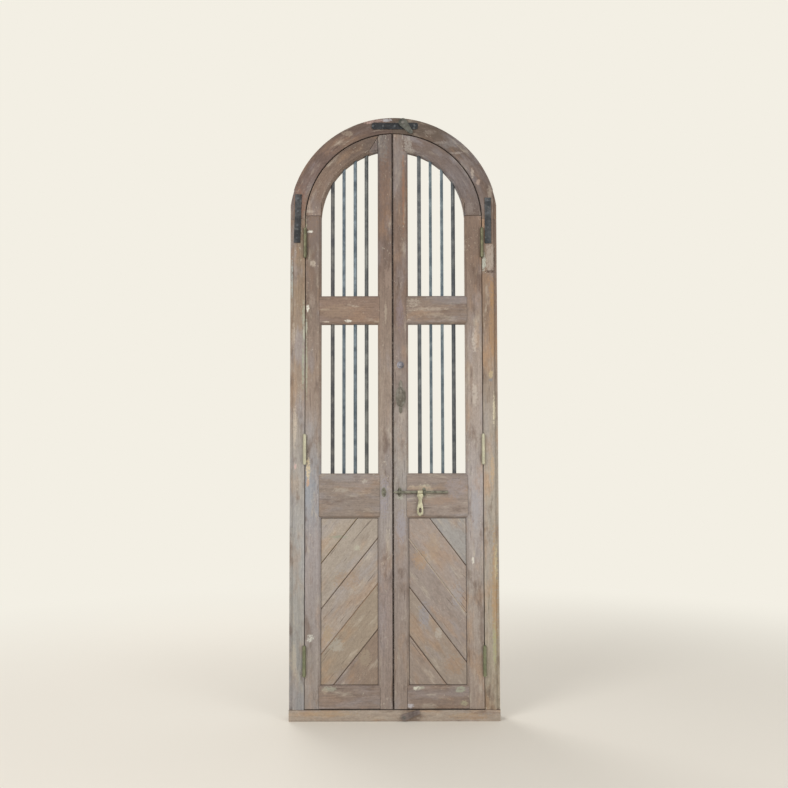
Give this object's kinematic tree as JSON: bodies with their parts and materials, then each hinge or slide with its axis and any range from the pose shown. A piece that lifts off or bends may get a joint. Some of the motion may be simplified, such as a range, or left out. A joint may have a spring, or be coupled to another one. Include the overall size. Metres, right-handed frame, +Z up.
{
  "type": "arched double door with frame",
  "caption": "Tall narrow arched wooden double door in a rebated frame, with barred upper lights, diagonal board panels, butt hinges, a sliding bolt with hasp and turn buttons.",
  "frame": {"origin": "middle of the sill's underside, in the plane of the frame's front face", "axes": "+Z up, +Y from the front face to the back, +X to the right seen from the front"},
  "size_m": [0.85, 0.123, 2.46],
  "materials": {
    "teak": "weathered, matte",
    "iron": "aged, matte",
    "brass": "patinated"
  },
  "bodies": {
    "frame": {"sill": "teak", "left_jamb": "teak", "right_jamb": "teak", "left_arch_segment": "teak", "right_arch_segment": "teak", "left_strap": "iron", "right_strap": "iron", "crown_strap": "iron", "strap_nails": "iron", "left_frame_hinge_flaps": "brass", "right_frame_hinge_flaps": "brass", "left_hinge_pins": "brass", "right_hinge_pins": "brass", "frame_hinge_screws": "brass", "button_screws": "iron"},
    "left_leaf": {"left_hinge_stile": "teak", "left_meeting_stile": "teak", "left_curved_rail": "teak", "left_cross_rail": "teak", "left_lock_rail": "teak", "left_bottom_rail": "teak", "left_board_1": "teak", "left_board_2": "teak", "left_board_3": "teak", "left_board_4": "teak", "left_board_5": "teak", "left_bar_1": "iron", "left_bar_2": "iron", "left_bar_3": "iron", "left_bar_4": "iron", "left_leaf_hinge_flaps": "brass", "left_leaf_hinge_screws": "brass", "bolt_keeper": "brass"},
    "right_leaf": {"right_hinge_stile": "teak", "right_meeting_stile": "teak", "right_curved_rail": "teak", "right_cross_rail": "teak", "right_lock_rail": "teak", "right_bottom_rail": "teak", "right_board_1": "teak", "right_board_2": "teak", "right_board_3": "teak", "right_board_4": "teak", "right_board_5": "teak", "right_bar_1": "iron", "right_bar_2": "iron", "right_bar_3": "iron", "right_bar_4": "iron", "right_leaf_hinge_flaps": "brass", "right_leaf_hinge_screws": "brass", "bolt_staples": "brass", "pull_handle": "iron", "knob": "iron"},
    "bolt": {"bolt_rod": "brass"},
    "hasp": {"hasp": "brass"},
    "top_button": {"top_turn_button": "iron"},
    "bottom_button": {"bottom_turn_button": "iron"}
  },
  "joints": [
    {"name": "left_leaf_swing", "type": "hinge", "parent": "frame", "child": "left_leaf", "pos_m": [-0.36275, -0.0075, 1.09], "axis": [0, 0, -1], "range_deg": [0, 165]},
    {"name": "right_leaf_swing", "type": "hinge", "parent": "frame", "child": "right_leaf", "pos_m": [0.36275, -0.0075, 1.09], "axis": [0, 0, 1], "range_deg": [0, 165]},
    {"name": "bolt_slide", "type": "slide", "parent": "right_leaf", "child": "bolt", "axis": [1, 0, 0], "range_m": [-0.0655, 0]},
    {"name": "hasp_swing", "type": "hinge", "parent": "bolt", "child": "hasp", "pos_m": [0.1053, -0.011, 0.916], "axis": [-1, 0, 0], "range_deg": [0, 175]},
    {"name": "top_button_turn", "type": "hinge", "parent": "frame", "child": "top_button", "pos_m": [0.0397, -0.0093, 2.437], "axis": [0, -1, 0], "range_deg": [-25, 50]},
    {"name": "bottom_button_turn", "type": "hinge", "parent": "frame", "child": "bottom_button", "pos_m": [0.038, -0.0042, 0.017], "axis": [0, 1, 0], "range_deg": [-36.3, 20]}
  ]
}
